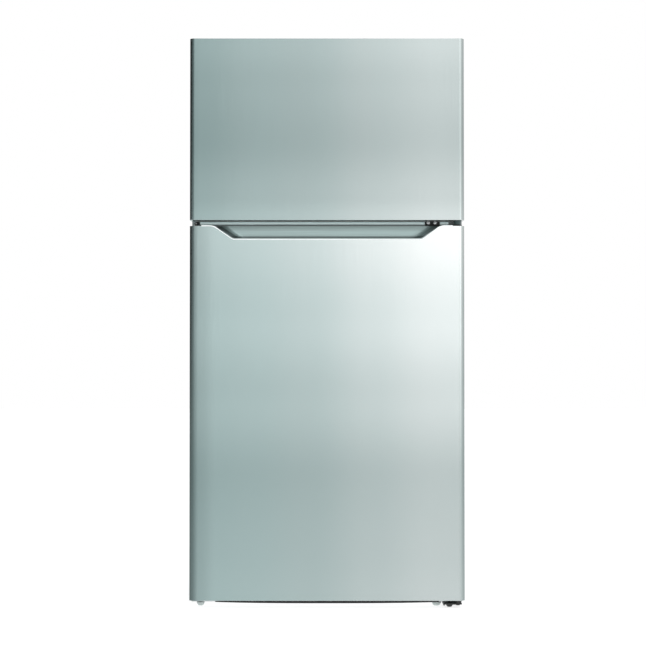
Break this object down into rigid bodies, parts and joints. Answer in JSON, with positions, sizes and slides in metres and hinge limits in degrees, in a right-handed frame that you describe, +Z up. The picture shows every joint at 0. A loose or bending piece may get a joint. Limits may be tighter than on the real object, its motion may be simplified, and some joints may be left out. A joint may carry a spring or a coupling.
{
  "type": "top freezer refrigerator",
  "caption": "Free-standing refrigerator with a freezer room above, two right-hung steel doors, a recessed grip along the top of the lower door, shelves, bins and crispers.",
  "frame": {"origin": "on the floor under the middle of the whole object", "axes": "+X to the right seen from the front, +Y from the door fronts to the back, +Z up"},
  "size_m": [0.713, 0.736, 1.489],
  "materials": {
    "stainless": "fine upright brush grain under a clear coat",
    "cabinet_paint": "fine textured enamel",
    "galvanised": "galvanised sheet",
    "bracket_black": "black powder coat",
    "zinc": "bright zinc plate",
    "compressor_black": "black enamel",
    "liner_white": "glossy formed sheet",
    "white_plastic": "moulded",
    "cap_grey": "fine moulded grain",
    "black_plastic": "moulded",
    "clear_plastic": "clear tinted moulding",
    "lens_plastic": "frosted",
    "glass": "tempered",
    "foam": "rigid foam",
    "gasket_grey": "soft extruded",
    "rubber_black": "moulded",
    "copper": "drawn tube",
    "aluminium": "mill finish",
    "wire_white": "plastic dipped",
    "foot_grey": "moulded"
  },
  "bodies": {
    "cabinet": {"side_panel_left": "cabinet_paint", "side_panel_right": "cabinet_paint", "top_panel": "cabinet_paint", "rear_panel": "galvanised", "base_pan": "galvanised", "front_mullion": "cabinet_paint", "cabinet_foam": "foam", "fridge_liner": "liner_white", "freezer_liner": "liner_white", "refrigerant_tubes": "copper", "compressor": "compressor_black", "compressor_grommets": "rubber_black", "compressor_relay_box": "black_plastic", "compressor_base_plate": "galvanised", "drain_pan": "black_plastic", "machine_room_cover": "galvanised", "cord_gland": "black_plastic", "evaporator": "aluminium", "defrost_heater": "aluminium", "evaporator_cover": "white_plastic", "fan_motor": "black_plastic", "freezer_shelf": "wire_white", "air_duct": "white_plastic", "control_housing": "white_plastic", "light_lens": "lens_plastic", "shelf_glass": "glass", "shelf_frames": "white_plastic", "top_hinge": "zinc", "top_hinge_cover": "cap_grey", "middle_hinge": "bracket_black", "lower_hinge": "bracket_black", "hinge_screws": "zinc"},
    "freezer_door": {"freezer_door_panel": "stainless", "freezer_door_foam": "foam", "freezer_door_liner": "liner_white", "freezer_door_top_cap": "cap_grey", "freezer_door_bottom_cap": "cap_grey", "freezer_door_gasket": "gasket_grey"},
    "fridge_door": {"fridge_door_panel": "stainless", "fridge_door_foam": "foam", "fridge_door_liner": "liner_white", "fridge_door_top_cap": "cap_grey", "fridge_door_bottom_cap": "cap_grey", "fridge_door_gasket": "gasket_grey"},
    "freezer_bin_upper_body": {"freezer_bin_upper": "clear_plastic"},
    "freezer_bin_lower_body": {"freezer_bin_lower": "clear_plastic"},
    "fridge_bin_upper_body": {"fridge_bin_upper": "clear_plastic"},
    "fridge_bin_middle_body": {"fridge_bin_middle": "clear_plastic"},
    "fridge_bin_lower_body": {"fridge_bin_lower": "clear_plastic"},
    "temperature_knob_body": {"temperature_knob": "white_plastic"},
    "airflow_slider_body": {"airflow_slider": "white_plastic"},
    "fan_blade_body": {"fan_blade": "white_plastic"},
    "door_switch_plunger_body": {"door_switch_plunger": "white_plastic"},
    "levelling_foot_left_body": {"levelling_foot_left": "foot_grey"},
    "levelling_foot_right_body": {"levelling_foot_right": "foot_grey"},
    "hinge_foot_body": {"hinge_foot": "black_plastic"},
    "rear_roller_left_body": {"rear_roller_left": "black_plastic"},
    "rear_roller_right_body": {"rear_roller_right": "black_plastic"},
    "crisper_left_body": {"crisper_left": "clear_plastic"},
    "crisper_right_body": {"crisper_right": "clear_plastic"}
  },
  "joints": [
    {"name": "freezer_door_swing", "type": "hinge", "parent": "cabinet", "child": "freezer_door", "pos_m": [0.3395, -0.34, 1.24], "axis": [0, 0, 1], "range_deg": [0, 150]},
    {"name": "fridge_door_swing", "type": "hinge", "parent": "cabinet", "child": "fridge_door", "pos_m": [0.3395, -0.34, 0.5], "axis": [0, 0, 1], "range_deg": [0, 150]},
    {"name": "freezer_bin_upper_lift", "type": "slide", "parent": "freezer_door", "child": "freezer_bin_upper_body", "axis": [0, 0, 1], "range_m": [0, 0.03]},
    {"name": "freezer_bin_lower_lift", "type": "slide", "parent": "freezer_door", "child": "freezer_bin_lower_body", "axis": [0, 0, 1], "range_m": [0, 0.03]},
    {"name": "fridge_bin_upper_lift", "type": "slide", "parent": "fridge_door", "child": "fridge_bin_upper_body", "axis": [0, 0, 1], "range_m": [0, 0.03]},
    {"name": "fridge_bin_middle_lift", "type": "slide", "parent": "fridge_door", "child": "fridge_bin_middle_body", "axis": [0, 0, 1], "range_m": [0, 0.03]},
    {"name": "fridge_bin_lower_lift", "type": "slide", "parent": "fridge_door", "child": "fridge_bin_lower_body", "axis": [0, 0, 1], "range_m": [0, 0.03]},
    {"name": "temperature_knob_turn", "type": "hinge", "parent": "cabinet", "child": "temperature_knob_body", "pos_m": [0.06, -0.18, 0.905], "axis": [0, 0, 1], "range_deg": [-120, 120]},
    {"name": "airflow_slider_slide", "type": "slide", "parent": "cabinet", "child": "airflow_slider_body", "axis": [1, 0, 0], "range_m": [-0.02, 0.02]},
    {"name": "fan_spin", "type": "hinge", "parent": "cabinet", "child": "fan_blade_body", "pos_m": [0, 0.253, 1.362], "axis": [0, 1, 0], "continuous": true},
    {"name": "door_switch_press", "type": "slide", "parent": "cabinet", "child": "door_switch_plunger_body", "axis": [0, -1, 0], "range_m": [0, 0.006]},
    {"name": "levelling_foot_left_turn", "type": "hinge", "parent": "cabinet", "child": "levelling_foot_left_body", "pos_m": [-0.331, -0.287, 0.02], "axis": [0, 0, 1], "continuous": true},
    {"name": "levelling_foot_right_turn", "type": "hinge", "parent": "cabinet", "child": "levelling_foot_right_body", "pos_m": [0.287, -0.287, 0.02], "axis": [0, 0, 1], "continuous": true},
    {"name": "hinge_foot_turn", "type": "hinge", "parent": "cabinet", "child": "hinge_foot_body", "pos_m": [0.319, -0.318, 0.01], "axis": [0, 0, 1], "continuous": true},
    {"name": "rear_roller_left_spin", "type": "hinge", "parent": "cabinet", "child": "rear_roller_left_body", "pos_m": [-0.318, 0.325, 0.016], "axis": [1, 0, 0], "continuous": true},
    {"name": "rear_roller_right_spin", "type": "hinge", "parent": "cabinet", "child": "rear_roller_right_body", "pos_m": [0.318, 0.325, 0.016], "axis": [1, 0, 0], "continuous": true},
    {"name": "crisper_left_slide", "type": "slide", "parent": "cabinet", "child": "crisper_left_body", "axis": [0, -1, 0], "range_m": [0, 0.26]},
    {"name": "crisper_right_slide", "type": "slide", "parent": "cabinet", "child": "crisper_right_body", "axis": [0, -1, 0], "range_m": [0, 0.26]}
  ],
  "couplings": [
    {"joint": "crisper_left_slide", "follows": "fridge_door_swing", "m_per_rad": 0.0993},
    {"joint": "crisper_right_slide", "follows": "fridge_door_swing", "m_per_rad": 0.0993},
    {"joint": "door_switch_press", "follows": "fridge_door_swing", "m_per_rad": 0.00229}
  ]
}
